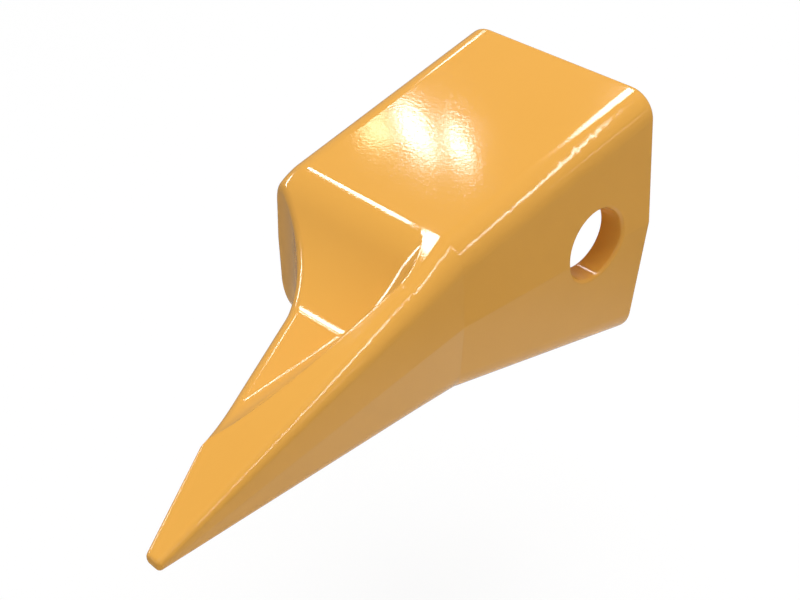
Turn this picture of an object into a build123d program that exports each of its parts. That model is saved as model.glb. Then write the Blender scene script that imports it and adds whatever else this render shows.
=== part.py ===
"""Bucket tooth tip: one casting with a tapered socket, a cross pin bore and an offset scooped point.

X runs rearward along the socket, Y across to the left along the pin, Z up, with the origin where the
pin's centre line crosses the middle of the socket. The upper half is laid out from the parting plane,
which lies a little below the pin, and the lower half mirrors it. Millimetres throughout.
"""

import os
from math import acos, cos, degrees, radians, sin, tan

from build123d import *

# Casting
DRAFT = 3.3
REAR_DRAFT = 2.4
PIN_ABOVE_PARTING = 2.9

# Box that takes the adapter nose, its widths at the parting plane
WIDTH_AT_PIN = 107.4
SIDE_TAPER = 1.75
HALF_HEIGHT_AT_PIN = 53.5
FACE_SLOPE = 12.8
REAR_CORNER_X = 33.4
RIDGE_X = -79.0
LONG_EDGE_RADIUS = 12.3
REAR_EDGE_RADIUS = 2.4

# Point
HEEL_SLOPE = 15.0
HEEL_END_X = -104.4
RIB_SLOPE = 11.2
RIGHT_FLARE = 7.06
TIP_X = -238.9
HEEL_EDGE_RADIUS = 8.8
TIP_EDGE_RADIUS = 1.9
FLANK_ANGLE = 28.6
TIP_WIDTH = 7.1
FLANK_ARC_START_X = -131.6
FLANK_ARC_RADIUS = 90.0
FLANK_ARC_END_ANGLE = 80.0
FLANK_EDGE_RADIUS = 5.0
RIB_EDGE_RADIUS = 2.0
TIP_END_RADIUS = 1.5

# Scoop and groove, alike above and below
GROOVE_HALF_HEIGHT = 9.0
RIDGE_START_SLOPE = 16.5
RIDGE_RADIUS = 33.0
SCOOP_RADIUS = 63.0
FOOT_ANGLE = 16.0
FOOT_RADIUS = 20.0
RIB_WIDTH_AT_RIDGE = 15.5
WALL_ANGLE = 6.2
WALL_DRAFT = 10.0
WALL_FOOT_RADIUS = 14.0

# Socket
WALL_THICKNESS = 12.5
SOCKET_TAPER = 4.0
SOCKET_MOUTH_HALF_HEIGHT = 50.0
SOCKET_FLAT_HALF_HEIGHT = 27.0
SOCKET_FLAT_X = -36.4
SOCKET_END_X = -58.4
SOCKET_CORNER_RADIUS = 9.0
SOCKET_END_RADIUS = 7.0
SOCKET_MOUTH_CHAMFER = 1.4

# Pin bore
BORE_RADIUS = 16.35
BORE_RIM_CHAMFER = 1.1

# Reach of the cutters past the casting
REACH = 30.0

LEAN = tan(radians(DRAFT))


def box_half_height(x):
    """Half height of the box at x."""
    return HALF_HEIGHT_AT_PIN + x * tan(radians(FACE_SLOPE))


def box_half_width(x):
    """Half width of the box at x, at the parting plane."""
    return WIDTH_AT_PIN / 2 + x * tan(radians(SIDE_TAPER))


def rib_half_height(x):
    """Half height of the point's rib at x, from its steeper heel on."""
    heel_end = box_half_height(RIDGE_X) + (HEEL_END_X - RIDGE_X) * tan(radians(HEEL_SLOPE))
    return heel_end + (x - HEEL_END_X) * tan(radians(RIB_SLOPE))


def point_right_y(x):
    """Right side of the point at x, at the parting plane."""
    return -box_half_width(RIDGE_X) + (x - RIDGE_X) * tan(radians(RIGHT_FLARE))


def across(x):
    """Plane across the casting at x, laid out in Y and Z."""
    return Plane(origin=(x, 0, 0), x_dir=(0, 1, 0), z_dir=(1, 0, 0))


def half_outline(x, right_y, height, corner_radius):
    """Corners of the upper half's cross section at x and the arc that rounds its right corner."""
    left_y = box_half_width(x)
    cut = corner_radius * tan(radians((90 - DRAFT) / 2))
    rise = Vector(sin(radians(DRAFT)), cos(radians(DRAFT)))
    start = Vector(right_y + height * LEAN, height) - rise * cut
    arc = across(x) * JernArc(start, rise, corner_radius, DRAFT - 90)
    feet = across(x) * Line((right_y, 0), (left_y, 0))
    left_top = Vector(x, left_y - height * LEAN, height)
    return [feet @ 0, arc @ 0, arc @ 1, left_top, feet @ 1], arc


def closed_face(*corners):
    """Flat face through corners."""
    return make_face(Polyline(*corners, close=True)).face()


def half_form(rib_raise=0.0):
    """Upper half of box and point before the hollows, with flat sides and a rounded right edge."""
    behind_x = REAR_CORNER_X + REACH
    rows = (
        (behind_x, -box_half_width(behind_x), box_half_height(behind_x), LONG_EDGE_RADIUS),
        (RIDGE_X, -box_half_width(RIDGE_X), box_half_height(RIDGE_X), LONG_EDGE_RADIUS),
        (HEEL_END_X, point_right_y(HEEL_END_X), rib_half_height(HEEL_END_X), HEEL_EDGE_RADIUS),
        (TIP_X, point_right_y(TIP_X), rib_half_height(TIP_X) + rib_raise, TIP_EDGE_RADIUS),
    )
    outlines = [half_outline(*row) for row in rows]
    faces = []
    for corners, arc in (outlines[0], outlines[-1]):
        rim = Polyline(*corners[2:], *corners[:2])
        faces.append(make_face(arc + rim).face())
    for (near, near_arc), (far, far_arc) in zip(outlines, outlines[1:]):
        for i, j in ((0, 1), (2, 3), (3, 4), (4, 0)):
            faces.append(closed_face(near[i], near[j], far[j], far[i]))
        faces.append(Face.make_surface_from_curves(near_arc.edge(), far_arc.edge()))
    return Solid(Shell(faces))


def rear_cut():
    """Space behind the box's rear face, which leans from the parting plane."""
    lean = tan(radians(REAR_DRAFT))
    tall = box_half_height(REAR_CORNER_X)
    foot_x = REAR_CORNER_X + tall * lean
    far_x = foot_x + 3 * REACH
    outline = Polyline(
        (foot_x + REACH * lean, -REACH),
        (foot_x - 2 * tall * lean, 2 * tall),
        (far_x, 2 * tall),
        (far_x, -REACH),
        close=True,
    )
    return extrude(Plane.XZ * make_face(outline), WIDTH_AT_PIN, both=True)


def flank_y(x):
    """Y of the flank's flat stretch at x."""
    return point_right_y(TIP_X) + TIP_WIDTH + (x - TIP_X) * tan(radians(FLANK_ANGLE))


def flank_sweep():
    """Plan of the flank's round stretch, from its bend to the box's left side."""
    bend = Vector(FLANK_ARC_START_X, flank_y(FLANK_ARC_START_X))
    heading = Vector(cos(radians(FLANK_ANGLE)), sin(radians(FLANK_ANGLE)))
    return JernArc(bend, heading, FLANK_ARC_RADIUS, FLANK_ARC_END_ANGLE - FLANK_ANGLE)


def flank_cut():
    """Space to the left of the point: a slanting flank swept round to the box's left side."""
    near = Vector(TIP_X - REACH, flank_y(TIP_X - REACH))
    sweep_round = flank_sweep()
    straight = Line(near, sweep_round @ 0)
    end = sweep_round @ 1
    far = end + (sweep_round % 1) * REACH
    closing = Polyline(end, far, (near.X, far.Y), near)
    outline = make_face(straight + sweep_round + closing)
    return extrude(outline, box_half_height(RIDGE_X) + REACH)


def rib_form():
    """Upper half of box and point with the rib's own left edge, which the scoop's edges run into."""
    near_x = TIP_X - REACH
    outline = Polyline(
        (near_x, flank_y(near_x)),
        (FLANK_ARC_START_X, flank_y(FLANK_ARC_START_X)),
        (FLANK_ARC_START_X, WIDTH_AT_PIN),
        (near_x, WIDTH_AT_PIN),
        close=True,
    )
    body = half_form() - extrude(make_face(outline), 2 * WIDTH_AT_PIN)
    rib_edge = [
        edge
        for edge in body.edges()
        if edge.bounding_box().min.X < TIP_X + 0.1
        and edge.bounding_box().max.X < FLANK_ARC_START_X + 0.1
        and edge.bounding_box().max.Z > rib_half_height(TIP_X) + 1
        and abs((edge @ 0.5).Y - flank_y((edge @ 0.5).X)) < 0.1
    ]
    return fillet(rib_edge, RIB_EDGE_RADIUS)


def pocket_cut():
    """Scoop behind the ridge and the groove along the rib."""
    floor_z = GROOVE_HALF_HEIGHT
    top_z = box_half_height(RIDGE_X)
    ridge_angle = radians(RIDGE_START_SLOPE)
    foot_angle = radians(FOOT_ANGLE)
    foot_drop = FOOT_RADIUS * (1 - cos(foot_angle))
    steepest = acos(
        (
            RIDGE_RADIUS * cos(ridge_angle)
            + SCOOP_RADIUS * cos(foot_angle)
            - (top_z - floor_z - foot_drop)
        )
        / (RIDGE_RADIUS + SCOOP_RADIUS)
    )
    ridge = JernArc(
        (RIDGE_X, top_z),
        (-cos(ridge_angle), -sin(ridge_angle)),
        RIDGE_RADIUS,
        degrees(steepest) - RIDGE_START_SLOPE,
    )
    scoop = JernArc(ridge @ 1, ridge % 1, SCOOP_RADIUS, FOOT_ANGLE - degrees(steepest))
    foot = JernArc(scoop @ 1, scoop % 1, FOOT_RADIUS, -FOOT_ANGLE)
    near_x = TIP_X - REACH
    closing = Polyline(
        foot @ 1,
        (near_x, floor_z),
        (near_x, top_z + REACH),
        (RIDGE_X + REACH, top_z + REACH),
        ridge @ 0,
    )
    profile = Plane.XZ * make_face(ridge + scoop + foot + closing)
    block = extrude(profile, WIDTH_AT_PIN, both=True)
    along = Vector(1, tan(radians(WALL_ANGLE)), 0)
    upward = Vector(0, -tan(radians(WALL_DRAFT)), 1)
    wall_y = point_right_y(RIDGE_X) + RIB_WIDTH_AT_RIDGE
    wall = Plane(origin=(RIDGE_X, wall_y, floor_z), x_dir=along, z_dir=upward.cross(along))
    span = 2 * (RIDGE_X - near_x + REACH)
    block = block & extrude(wall * Rectangle(span, span), 2 * WIDTH_AT_PIN)
    wall_face = min(block.faces(), key=lambda face: (face.normal_at() + wall.z_dir).length)
    foot_edges = [
        edge for edge in wall_face.edges() if edge.center().Z < top_z and edge.center().X > near_x
    ]
    return fillet(foot_edges, WALL_FOOT_RADIUS)


def sweep_x(y):
    """X of the flank's round stretch, or of its flat one, where it passes y."""
    sweep_round = flank_sweep()
    if y < (sweep_round @ 0).Y:
        return FLANK_ARC_START_X + (y - (sweep_round @ 0).Y) / tan(radians(FLANK_ANGLE))
    heading = acos(cos(radians(FLANK_ANGLE)) - (y - (sweep_round @ 0).Y) / FLANK_ARC_RADIUS)
    return FLANK_ARC_START_X + FLANK_ARC_RADIUS * (sin(heading) - sin(radians(FLANK_ANGLE)))


def round_left_edge(body):
    """Box's long left edge, rolled on over the ridge to where the flank will cut it off."""
    rough_y = box_half_width(RIDGE_X) - 1.6 * LONG_EDGE_RADIUS
    rough_x = sweep_x(rough_y) - LONG_EDGE_RADIUS / 8
    span = 2 * (rough_x - TIP_X + REACH)
    corner = Plane(origin=(rough_x, rough_y, 0)) * Box(
        span, span, span, align=(Align.MAX, Align.MIN, Align.CENTER)
    )
    body = body - corner
    side_y = box_half_width(rough_x) - box_half_height(REAR_CORNER_X) * LEAN - 1
    edges = [
        edge
        for edge in body.edges()
        if edge.bounding_box().min.Y > side_y and edge.bounding_box().size.X > 1
        and (edge @ 0.5).Z > GROOVE_HALF_HEIGHT
        and (edge @ 0.5).X < REAR_CORNER_X
    ]
    return fillet(edges, LONG_EDGE_RADIUS)


def round_flank_edges(body):
    """Edges of the flank with the left side, scoop and groove."""
    edges = []
    for face in body.faces():
        normal = face.normal_at()
        upright = abs(normal.Z) < 0.001 and normal.X < -0.1
        swept = face.geom_type == GeomType.CYLINDER and abs(face.radius - FLANK_ARC_RADIUS) < 0.01
        if swept or (upright and face.geom_type == GeomType.PLANE and normal.Y > 0.1):
            edges += face.edges()
    kept = []
    for edge in edges:
        box = edge.bounding_box()
        at_tip = box.min.X < TIP_X + 0.1
        at_bend = abs(box.min.X - FLANK_ARC_START_X) < 0.1 and box.size.X < 0.1
        at_parting = box.max.Z < 0.1
        if not at_tip and not at_bend and not at_parting:
            kept.append(edge)
    return fillet(kept, FLANK_EDGE_RADIUS)


def edges_between(body, near_x, far_x, lowest=-1.0):
    """Edges that lie wholly between two cross planes and reach above a level."""
    return [
        edge
        for edge in body.edges()
        if edge.bounding_box().min.X > near_x
        and edge.bounding_box().max.X < far_x
        and edge.bounding_box().max.Z > lowest
    ]


def socket():
    """Hollow for the adapter nose: a taper down to flats and a round-cornered end."""
    def half_width(x):
        return WIDTH_AT_PIN / 2 - WALL_THICKNESS + x * tan(radians(SOCKET_TAPER))

    mouth_x = REAR_CORNER_X + REACH
    slope = (SOCKET_MOUTH_HALF_HEIGHT - SOCKET_FLAT_HALF_HEIGHT) / (REAR_CORNER_X - SOCKET_FLAT_X)
    mouth_z = SOCKET_FLAT_HALF_HEIGHT + slope * (mouth_x - SOCKET_FLAT_X)
    side = Polyline(
        (SOCKET_END_X, 0),
        (SOCKET_END_X, SOCKET_FLAT_HALF_HEIGHT),
        (SOCKET_FLAT_X, SOCKET_FLAT_HALF_HEIGHT),
        (mouth_x, mouth_z),
        (mouth_x, 0),
        close=True,
    )
    plan = Polyline(
        (SOCKET_END_X, -half_width(SOCKET_END_X)),
        (SOCKET_END_X, half_width(SOCKET_END_X)),
        (mouth_x, half_width(mouth_x)),
        (mouth_x, -half_width(mouth_x)),
        close=True,
    )
    hollow = extrude(Plane.XZ * make_face(side), WIDTH_AT_PIN, both=True)
    hollow = hollow & extrude(make_face(plan), 2 * mouth_z)
    long_edges = [
        edge
        for edge in hollow.edges()
        if edge.bounding_box().size.X > 1 and edge.bounding_box().max.Z > 1
    ]
    hollow = fillet(long_edges, SOCKET_CORNER_RADIUS)
    end_edges = edges_between(hollow, SOCKET_END_X - 0.1, SOCKET_END_X + 0.1, 0.1)
    return fillet(end_edges, SOCKET_END_RADIUS)


def chamfer_mouth(body):
    """Rim of the socket's mouth."""
    low_x = REAR_CORNER_X - REAR_EDGE_RADIUS
    side_y = box_half_width(REAR_CORNER_X) - WALL_THICKNESS / 2
    top_z = (box_half_height(REAR_CORNER_X) + SOCKET_MOUTH_HALF_HEIGHT) / 2
    edges = [
        edge
        for edge in edges_between(body, low_x, REAR_CORNER_X + REACH, 0.1)
        if edge.bounding_box().max.Y < side_y
        and edge.bounding_box().min.Y > -side_y
        and edge.bounding_box().max.Z < top_z
    ]
    return chamfer(edges, SOCKET_MOUTH_CHAMFER)


def half_casting():
    """Upper half of the casting, without the pin bore."""
    body = half_form(GROOVE_HALF_HEIGHT) - rear_cut() - pocket_cut()
    body = round_left_edge(body)
    body = body - flank_cut()
    body = round_flank_edges(body) & rib_form()
    rear_rim = edges_between(
        body, REAR_CORNER_X - 1, REAR_CORNER_X + REACH, 0.1
    )
    body = fillet(rear_rim, REAR_EDGE_RADIUS)
    body = fillet(edges_between(body, TIP_X - 0.1, TIP_X + 0.1, 0.1), TIP_END_RADIUS)
    body = body - socket()
    return chamfer_mouth(body)


def bored(half, pin_z):
    """A half casting with the pin bore at a height above the parting plane and its rims broken."""
    body = half - Pos(0, 0, pin_z) * (Plane.XZ * Cylinder(BORE_RADIUS, 2 * WIDTH_AT_PIN))
    edges = [
        edge
        for edge in edges_between(body, -BORE_RADIUS - 1, BORE_RADIUS + 1, 1.0)
        if abs(edge.center().Y) > (WIDTH_AT_PIN - WALL_THICKNESS) / 2
    ]
    return chamfer(edges, BORE_RIM_CHAMFER)


def tooth_tip():
    """The whole casting, lowered so that the pin's centre is the origin."""
    half = half_casting()
    upper = bored(half, PIN_ABOVE_PARTING)
    lower = mirror(bored(half, -PIN_ABOVE_PARTING), Plane.XY)
    return Pos(0, 0, -PIN_ABOVE_PARTING) * (upper + lower)


if __name__ == "__main__":
    tip = tooth_tip()
    os.makedirs("parts", exist_ok=True)
    export_step(tip, "parts/tooth_tip.step")
    print("tooth_tip", tip.is_valid, len(tip.solids()), tip.volume, tip.bounding_box())
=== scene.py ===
"""Looks of the bucket tooth tip: glossy enamel on a cast skin, soft studio light, the photograph's view."""

import math
from typing import NamedTuple

import bpy
from mathutils import Matrix, Vector


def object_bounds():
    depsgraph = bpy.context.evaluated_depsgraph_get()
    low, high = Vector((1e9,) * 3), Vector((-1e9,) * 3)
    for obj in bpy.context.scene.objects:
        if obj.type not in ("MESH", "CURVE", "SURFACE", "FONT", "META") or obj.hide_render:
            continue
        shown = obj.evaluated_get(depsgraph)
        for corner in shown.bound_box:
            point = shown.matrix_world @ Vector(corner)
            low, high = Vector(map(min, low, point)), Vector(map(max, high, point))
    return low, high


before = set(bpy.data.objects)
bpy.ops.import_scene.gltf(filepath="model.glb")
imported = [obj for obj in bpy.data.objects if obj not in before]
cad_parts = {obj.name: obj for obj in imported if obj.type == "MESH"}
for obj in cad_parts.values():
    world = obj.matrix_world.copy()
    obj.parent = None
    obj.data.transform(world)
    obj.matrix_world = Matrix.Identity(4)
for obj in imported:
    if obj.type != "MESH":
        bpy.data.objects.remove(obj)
start_lo, start_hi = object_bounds()
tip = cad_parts["tooth_tip"]
scene = bpy.context.scene

WHITE = (1, 1, 1)
WARM = (1, 0.86, 0.55)

# Enamel, deeper and paler in soft patches; its edges look rounded to a radius in metres
PAINT_DEEP = (0.81, 0.398, 0.066, 1)
PAINT_PALE = (0.83, 0.412, 0.072, 1)
DEEP_BELOW = 0.3
PALE_ABOVE = 0.7
TONE_PATCHES_PER_METRE = 14.0
TONE_DETAIL = 3.0
TONE_NOISE_ROUGHNESS = 0.5
PAINT_ROUGHNESS = 0.07
PAINT_IOR = 1.5
EDGE_RADIUS = 0.0012
EDGE_SAMPLES = 8

# Slow waves of the cast skin and fine ripple of the sprayed coat, with their depths in metres
WAVES_PER_METRE = 45.0
WAVES = 0.05
WAVE_DETAIL = 1.0
WAVE_NOISE_ROUGHNESS = 0.4
WAVE_DEPTH = 0.0006
RIPPLE_PER_METRE = 1000.0
RIPPLE_DETAIL = 0.6
RIPPLE_NOISE_ROUGHNESS = 0.45
RIPPLE_DEPTH = 0.00004
RIPPLE_TURN = math.radians(-45)
RIPPLE_DRAWN_OUT = 1.7

# Strength of the ripple, by how far a surface faces sideways: 0 for the top, 1 for the sides
RIPPLE_ON_TOP = 0.3
RIPPLE_ASIDE = 0.1
ON_TOP_BELOW = 0.04
ASIDE_ABOVE = 0.22

# Floor below the object. The camera sees mostly its glow, and so near white.
FLOOR_SIZE = 30.0
FLOOR_DROP = 0.16
PAPER_GREY = (0.76, 0.76, 0.76, 1)
PAPER_ROUGHNESS = 0.9
PAPER_GLOW = 1.03
PAPER_GLOW_SHARE = 0.88

# Painted pool of light in the floor's glow, which the paint mirrors, by the distance from the origin in
# metres
POOL_NEAR = 0.30
POOL_FAR = 0.42
POOL_LEVEL = 0.62
POOL_OUTSIDE = 0.20

# Sky, as it lights and as it is mirrored
SKY_LIGHT = 0.53
SKY_REFLECTED = 0.25

# Lamps, with the distance of each card from what mirrors it in metres
CARD_STEPS = 12
FAR = 6.0
CREST_AWAY = 0.27
HEEL_AWAY = 0.15
OVERHEAD_PLACE = (0.25, 0, 2.0)
OVERHEAD_SIZE = 1.6
OVERHEAD_RADIANCE = 4.75

# Camera of the photograph, with angles in degrees and lengths of the picture in its points
PICTURE_WIDTH = 800
PICTURE_HEIGHT = 600
FOCAL = 1357.5
SENSOR_WIDTH = 36
CAMERA_PLACE = Vector((-0.39424, -0.334128, 0.308959))
CAMERA_HEADING = 45.2785
CAMERA_DIP = 35.23
CAMERA_ROLL = 0.0511
CLIP_START = 0.01
CLIP_END = 50

# A point on the crest, and slopes in degrees of the flats that run from it and mirror the cards
CREST = Vector((-0.079, 0, 0.03265))
TOP_SLOPE = 12.8
HEEL_SLOPE = 15.0
CREST_SLOPES = (16.0, 20.0)

# Ends of the crest's bright line, in points of the picture
CREST_LEFT = (303.8, 165.9)
CREST_RIGHT = (412.0, 224.5)

# Boxes that the mirrored cards fill, in points of the picture: left, top, right and bottom
WINDOW_BOX = (330, 85, 510, 190)
HEEL_BOX = (405, 215, 465, 285)


class Glow(NamedTuple):
    """Oval of light on a card, in the card's coordinates, with its turn in degrees. Its rim fades over a
    share of its radius."""

    centre: tuple
    half_sizes: tuple
    turn: float
    fade: float
    radiance: float
    colour: tuple = WHITE


# Bright patches of the top face and of the rib's heel, in points of the picture
WINDOW_GLOWS = (
    Glow(centre=(415, 130), half_sizes=(37, 14), turn=57, fade=0.3, radiance=22.0),
    Glow(centre=(459, 144), half_sizes=(28, 11), turn=60, fade=0.3, radiance=24.0),
    Glow(centre=(374, 128), half_sizes=(28, 17), turn=38, fade=0.5, radiance=15.0, colour=WARM),
    Glow(centre=(484, 136), half_sizes=(11, 9), turn=60, fade=0.8, radiance=2.0),
    Glow(centre=(421, 139), half_sizes=(68, 32), turn=28, fade=0.4, radiance=2.2),
)
HEEL_GLOWS = (Glow(centre=(434, 240), half_sizes=(15, 24), turn=14, fade=0.35, radiance=22.0),)

# Glow that fills its card and fades only at the corners
CREST_GLOW = Glow(centre=(0, 0), half_sizes=(1.5, 1.5), turn=0, fade=0.1, radiance=22.0)


def feed(tree, value, socket):
    """Set a plain number on a socket, or link an output to it."""
    if isinstance(value, (int, float)):
        socket.default_value = value
    else:
        tree.links.new(value, socket)


def new_group(name, inputs, outputs):
    """An empty shader node group with named sockets, each given by label and kind."""
    tree = bpy.data.node_groups.new(name, "ShaderNodeTree")
    for in_out, sockets in (("INPUT", inputs), ("OUTPUT", outputs)):
        for label, kind in sockets:
            tree.interface.new_socket(label, in_out=in_out, socket_type="NodeSocket" + kind)
    given = tree.nodes.new("NodeGroupInput")
    result = tree.nodes.new("NodeGroupOutput")
    return tree, given.outputs, result.inputs


def math_node(tree, kind, *values):
    node = tree.nodes.new("ShaderNodeMath")
    node.operation = kind
    for value, socket in zip(values, node.inputs):
        feed(tree, value, socket)
    return node.outputs["Value"]


def noise(tree, where, scale, detail, roughness):
    node = tree.nodes.new("ShaderNodeTexNoise")
    node.inputs["Detail"].default_value = detail
    node.inputs["Roughness"].default_value = roughness
    feed(tree, scale, node.inputs["Scale"])
    feed(tree, where, node.inputs["Vector"])
    return node.outputs["Fac"]


def bump(tree, height, strength, depth, normal):
    node = tree.nodes.new("ShaderNodeBump")
    node.inputs["Distance"].default_value = depth
    feed(tree, strength, node.inputs["Strength"])
    feed(tree, height, node.inputs["Height"])
    feed(tree, normal, node.inputs["Normal"])
    return node.outputs["Normal"]


def blend(tree, value, low, high, at_low, at_high):
    """A smooth step from one level to another, as a value goes from low to high."""
    node = tree.nodes.new("ShaderNodeMapRange")
    node.interpolation_type = "SMOOTHSTEP"
    feed(tree, value, node.inputs["Value"])
    node.inputs["From Min"].default_value = low
    node.inputs["From Max"].default_value = high
    node.inputs["To Min"].default_value = at_low
    node.inputs["To Max"].default_value = at_high
    return node.outputs["Result"]


def ray_level(tree, camera, glossy, other):
    """A level that differs for camera rays, reflections and all other rays."""
    path = tree.nodes.new("ShaderNodeLightPath")
    level = other
    for kind, wanted in (("Is Glossy Ray", glossy), ("Is Camera Ray", camera)):
        mix = tree.nodes.new("ShaderNodeMix")
        mix.data_type = "FLOAT"
        feed(tree, path.outputs[kind], mix.inputs["Factor"])
        feed(tree, level, mix.inputs["A"])
        feed(tree, wanted, mix.inputs["B"])
        level = mix.outputs["Result"]
    return level


def orange_peel():
    """Group: fine ripple of sprayed enamel over the slow waviness of a cast skin, with softened edges."""
    tree, given, result = new_group(
        "orange_peel",
        inputs=(
            ("Where", "Vector"),
            ("Ripple per metre", "Float"),
            ("Ripple", "Float"),
            ("Waves per metre", "Float"),
            ("Waves", "Float"),
            ("Edge radius", "Float"),
        ),
        outputs=(("Normal", "Vector"),),
    )
    drawn_out = tree.nodes.new("ShaderNodeMapping")
    drawn_out.vector_type = "TEXTURE"
    drawn_out.inputs["Rotation"].default_value = (0, 0, RIPPLE_TURN)
    drawn_out.inputs["Scale"].default_value = (RIPPLE_DRAWN_OUT, 1, 1)
    feed(tree, given["Where"], drawn_out.inputs["Vector"])
    along = drawn_out.outputs["Vector"]
    ripple = noise(tree, along, given["Ripple per metre"], RIPPLE_DETAIL, RIPPLE_NOISE_ROUGHNESS)
    waves = noise(tree, given["Where"], given["Waves per metre"], WAVE_DETAIL, WAVE_NOISE_ROUGHNESS)
    softened = tree.nodes.new("ShaderNodeBevel")
    softened.samples = EDGE_SAMPLES
    feed(tree, given["Edge radius"], softened.inputs["Radius"])
    slow = bump(tree, waves, given["Waves"], WAVE_DEPTH, softened.outputs["Normal"])
    fine = bump(tree, ripple, given["Ripple"], RIPPLE_DEPTH, slow)
    feed(tree, fine, result["Normal"])
    return tree


def enamel(peel):
    """Glossy orange-yellow enamel, slightly uneven in tone and less rippled where it faces sideways."""
    material = bpy.data.materials.new("paint")
    material.use_nodes = True
    tree = material.node_tree
    shader = tree.nodes["Principled BSDF"]
    where = tree.nodes.new("ShaderNodeTexCoord").outputs["Object"]

    facing = tree.nodes.new("ShaderNodeSeparateXYZ")
    feed(tree, tree.nodes.new("ShaderNodeNewGeometry").outputs["Normal"], facing.inputs["Vector"])
    aside = math_node(tree, "ABSOLUTE", facing.outputs["Y"])
    skin = tree.nodes.new("ShaderNodeGroup")
    skin.node_tree = peel
    skin.inputs["Ripple per metre"].default_value = RIPPLE_PER_METRE
    skin.inputs["Waves per metre"].default_value = WAVES_PER_METRE
    skin.inputs["Waves"].default_value = WAVES
    skin.inputs["Edge radius"].default_value = EDGE_RADIUS
    feed(tree, where, skin.inputs["Where"])
    strength = blend(tree, aside, ON_TOP_BELOW, ASIDE_ABOVE, RIPPLE_ON_TOP, RIPPLE_ASIDE)
    feed(tree, strength, skin.inputs["Ripple"])
    feed(tree, skin.outputs["Normal"], shader.inputs["Normal"])

    tone = tree.nodes.new("ShaderNodeValToRGB")
    deep, pale = tone.color_ramp.elements
    deep.position = DEEP_BELOW
    deep.color = PAINT_DEEP
    pale.position = PALE_ABOVE
    pale.color = PAINT_PALE
    patches = noise(tree, where, TONE_PATCHES_PER_METRE, TONE_DETAIL, TONE_NOISE_ROUGHNESS)
    feed(tree, patches, tone.inputs["Fac"])
    feed(tree, tone.outputs["Color"], shader.inputs["Base Color"])
    shader.inputs["Roughness"].default_value = PAINT_ROUGHNESS
    shader.inputs["IOR"].default_value = PAINT_IOR
    return material


def paper():
    """Floor: pale to the lamps, near white to the camera, and a painted pool of light in its glow that only
    reflections show.
    """
    material = bpy.data.materials.new("floor_paper")
    material.use_nodes = True
    tree = material.node_tree
    shader = tree.nodes["Principled BSDF"]
    shader.inputs["Base Color"].default_value = PAPER_GREY
    shader.inputs["Roughness"].default_value = PAPER_ROUGHNESS
    reach = tree.nodes.new("ShaderNodeVectorMath")
    reach.operation = "LENGTH"
    feed(tree, tree.nodes.new("ShaderNodeNewGeometry").outputs["Position"], reach.inputs[0])
    # Painted pool of light: the floor's glow in reflections, brighter near the object and dimmer farther
    # out.
    pool = blend(tree, reach.outputs["Value"], POOL_NEAR, POOL_FAR, POOL_LEVEL, POOL_OUTSIDE)
    glow = tree.nodes.new("ShaderNodeEmission")
    level = ray_level(tree, camera=PAPER_GLOW, glossy=pool, other=1.0)
    feed(tree, level, glow.inputs["Strength"])

    # The camera sees a little of the lit paper through the glow, so the shadow stays.
    path = tree.nodes.new("ShaderNodeLightPath")
    seen = math_node(tree, "MULTIPLY", path.outputs["Is Camera Ray"], PAPER_GLOW_SHARE)
    share = math_node(tree, "MAXIMUM", seen, path.outputs["Is Glossy Ray"])
    mix = tree.nodes.new("ShaderNodeMixShader")
    feed(tree, share, mix.inputs["Fac"])
    feed(tree, shader.outputs["BSDF"], mix.inputs[1])
    feed(tree, glow.outputs["Emission"], mix.inputs[2])
    feed(tree, mix.outputs["Shader"], tree.nodes["Material Output"].inputs["Surface"])
    return material


def lay_floor():
    bpy.ops.mesh.primitive_plane_add(size=FLOOR_SIZE, location=(0, 0, start_lo.z - FLOOR_DROP))
    floor = bpy.context.object
    floor.name = "floor"
    floor.data.materials.append(paper())


def set_sky():
    """Even pale studio, white to the camera and dimmer in reflections."""
    world = bpy.data.worlds.new("studio")
    scene.world = world
    world.use_nodes = True
    tree = world.node_tree
    background = tree.nodes["Background"]
    background.inputs["Color"].default_value = (*WHITE, 1)
    level = ray_level(tree, camera=1.0, glossy=SKY_REFLECTED, other=SKY_LIGHT)
    feed(tree, level, background.inputs["Strength"])


def lamp_material(name, glows):
    """Clear sheet that shines only where its glows are."""
    material = bpy.data.materials.new(name)
    material.use_nodes = True
    tree = material.node_tree
    surface = tree.nodes.new("ShaderNodeBsdfTransparent").outputs["BSDF"]
    place = tree.nodes.new("ShaderNodeUVMap").outputs["UV"]
    for glow in glows:
        local = tree.nodes.new("ShaderNodeMapping")
        local.vector_type = "TEXTURE"
        local.inputs["Location"].default_value = (*glow.centre, 0)
        local.inputs["Rotation"].default_value = (0, 0, math.radians(glow.turn))
        local.inputs["Scale"].default_value = (*glow.half_sizes, 1)
        feed(tree, place, local.inputs["Vector"])
        ball = tree.nodes.new("ShaderNodeTexGradient")
        ball.gradient_type = "SPHERICAL"
        feed(tree, local.outputs["Vector"], ball.inputs["Vector"])
        light = tree.nodes.new("ShaderNodeEmission")
        light.inputs["Color"].default_value = (*glow.colour, 1)
        level = blend(tree, ball.outputs["Fac"], 0.0, glow.fade, 0.0, glow.radiance)
        feed(tree, level, light.inputs["Strength"])
        both = tree.nodes.new("ShaderNodeAddShader")
        feed(tree, surface, both.inputs[0])
        feed(tree, light.outputs["Emission"], both.inputs[1])
        surface = both.outputs["Shader"]
    feed(tree, surface, tree.nodes["Material Output"].inputs["Surface"])
    return material


def across(corners, u, v):
    """Point of a four-cornered sheet, at its shares along the first side and away from it."""
    first, second, third, fourth = map(Vector, corners)
    return first.lerp(second, u).lerp(fourth.lerp(third, u), v)


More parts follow.
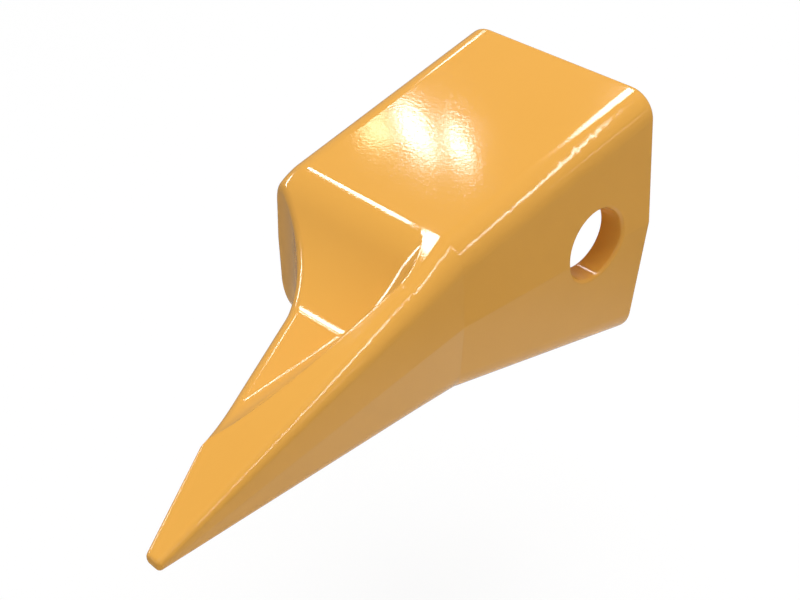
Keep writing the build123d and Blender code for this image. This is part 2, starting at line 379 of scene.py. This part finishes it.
def card(name, corners, coords, glows):
    """A lamp card through four corners, with its coordinates at them. Only reflections show it."""
    shares = [step / CARD_STEPS for step in range(CARD_STEPS + 1)]
    verts = [across(corners, u, v) for v in shares for u in shares]
    places = [across(coords, u, v) for v in shares for u in shares]
    row = len(shares)
    starts = [i + j * row for j in range(CARD_STEPS) for i in range(CARD_STEPS)]
    faces = [(k, k + 1, k + row + 1, k + row) for k in starts]
    mesh = bpy.data.meshes.new(name)
    mesh.from_pydata(verts, [], faces)
    layer = mesh.uv_layers.new(name="card")
    for loop in mesh.loops:
        layer.data[loop.index].uv = places[loop.vertex_index]
    mesh.materials.append(lamp_material(name, glows))
    lamp = bpy.data.objects.new(name, mesh)
    lamp.visible_camera = False
    lamp.visible_diffuse = False
    lamp.visible_shadow = False
    scene.collection.objects.link(lamp)


def toward(azimuth, elevation):
    """Far place in a direction given in degrees."""
    turn = math.radians(azimuth)
    lift = math.radians(elevation)
    flat = math.cos(lift)
    return FAR * Vector((flat * math.cos(turn), flat * math.sin(turn), math.sin(lift)))


def strip(name, start, end, width, radiance, fade=0.5):
    """A lamp strip between two directions of azimuth and elevation. These and its width are degrees."""
    first = toward(*start)
    last = toward(*end)
    aside = first.cross(last).normalized() * FAR * math.tan(math.radians(width / 2))
    corners = (first - aside, last - aside, last + aside, first + aside)
    coords = ((-1, -1), (1, -1), (1, 1), (-1, 1))
    glow = Glow(centre=(0, 0), half_sizes=(1, 1), turn=0, fade=fade, radiance=radiance)
    card(name, corners, coords, (glow,))


def look_axes():
    """Directions right, up and ahead of the photograph's camera."""
    heading, dip, roll = (math.radians(angle) for angle in (CAMERA_HEADING, CAMERA_DIP, CAMERA_ROLL))
    flat = math.cos(dip)
    ahead = Vector((flat * math.cos(heading), flat * math.sin(heading), -math.sin(dip)))
    level = Vector((math.sin(heading), -math.cos(heading), 0))
    right = level * math.cos(roll) + level.cross(ahead) * math.sin(roll)
    return right, right.cross(ahead), ahead


def mirrored(slope, point, away):
    """Place that the camera sees at a point of the picture, mirrored in the face of the given slope,
    at a distance away from that face."""
    right, up, ahead = look_axes()
    x = point[0] - PICTURE_WIDTH / 2
    y = point[1] - PICTURE_HEIGHT / 2
    ray = (ahead * FOCAL + right * x - up * y).normalized()
    tilt = math.radians(slope)
    normal = Vector((-math.sin(tilt), 0, math.cos(tilt)))
    reach = (CREST - CAMERA_PLACE).dot(normal) / ray.dot(normal)
    return CAMERA_PLACE + ray * reach + (ray - 2 * ray.dot(normal) * normal) * away


def mirrored_card(name, slope, away, box, glows):
    """A lamp card that fills a box of the picture when it is mirrored in the face of the given slope."""
    left, top, right, bottom = box
    points = ((left, top), (right, top), (right, bottom), (left, bottom))
    card(name, [mirrored(slope, point, away) for point in points], points, glows)


def crest_card():
    """The card that the rolled crest mirrors, as one bright line along it."""
    shallow, steep = CREST_SLOPES
    corners = (
        mirrored(shallow, CREST_LEFT, CREST_AWAY),
        mirrored(steep, CREST_LEFT, CREST_AWAY),
        mirrored(steep, CREST_RIGHT, CREST_AWAY),
        mirrored(shallow, CREST_RIGHT, CREST_AWAY),
    )
    card("crest", corners, ((-1, -1), (-1, 1), (1, 1), (1, -1)), (CREST_GLOW,))


def overhead():
    """Large soft lamp above. It lights the object and isn't mirrored."""
    lamp = bpy.data.lights.new("overhead", "AREA")
    lamp.shape = "DISK"
    lamp.size = OVERHEAD_SIZE
    disk_area = math.pi * (OVERHEAD_SIZE / 2) ** 2
    lamp.energy = OVERHEAD_RADIANCE * math.pi * disk_area
    above = bpy.data.objects.new("overhead", lamp)
    above.location = OVERHEAD_PLACE
    above.visible_glossy = False
    scene.collection.objects.link(above)


def set_camera():
    data = bpy.data.cameras.new("camera")
    data.sensor_width = SENSOR_WIDTH
    data.lens = FOCAL / PICTURE_WIDTH * SENSOR_WIDTH
    data.clip_start = CLIP_START
    data.clip_end = CLIP_END
    camera = bpy.data.objects.new("camera", data)
    scene.collection.objects.link(camera)
    right, up, ahead = look_axes()
    turned = Matrix((right, up, -ahead)).transposed().to_4x4()
    turned.translation = CAMERA_PLACE
    camera.matrix_world = turned
    scene.camera = camera


# Paint
tip.data.materials.clear()
tip.data.materials.append(enamel(orange_peel()))

# Studio
lay_floor()
set_sky()
overhead()

# Highlights of the photograph
mirrored_card("window", TOP_SLOPE, FAR, WINDOW_BOX, WINDOW_GLOWS)
mirrored_card("heel", HEEL_SLOPE, HEEL_AWAY, HEEL_BOX, HEEL_GLOWS)
crest_card()
strip("right_edge", start=(-8, 67), end=(-72, 28), width=1.9, radiance=18.0)
strip("right_edge_low", start=(-54, 16), end=(-61, 21), width=1.5, radiance=5.0)
strip("floor_lines", start=(47, 29), end=(60, 29), width=2, radiance=16.0)
strip("left_edge", start=(80, 20), end=(116, 20), width=9, radiance=16.0)
strip("groove_edge", start=(57, 31), end=(59.5, 35.5), width=4, radiance=16.0)
strip("rear_band", start=(47.5, 46), end=(19, 63), width=9, radiance=18.0, fade=0.25)

# Highlights of the other sides
strip("rear_corners", start=(152, 27), end=(208, 27), width=6, radiance=12.0)
strip("side_edges", start=(122, 62), end=(238, 62), width=6, radiance=12.0)
strip("front_sheen", start=(-10, 46), end=(6, 41), width=3, radiance=7.0)
strip("left_sheen", start=(252, 12), end=(270, 15), width=7, radiance=8.0)
strip("rear_sheen", start=(134, 7), end=(150, 3), width=6, radiance=3.0)
strip("rear_sheen_left", start=(210, 3), end=(228, 7), width=6, radiance=3.0)

set_camera()
scene.view_settings.view_transform = "Standard"
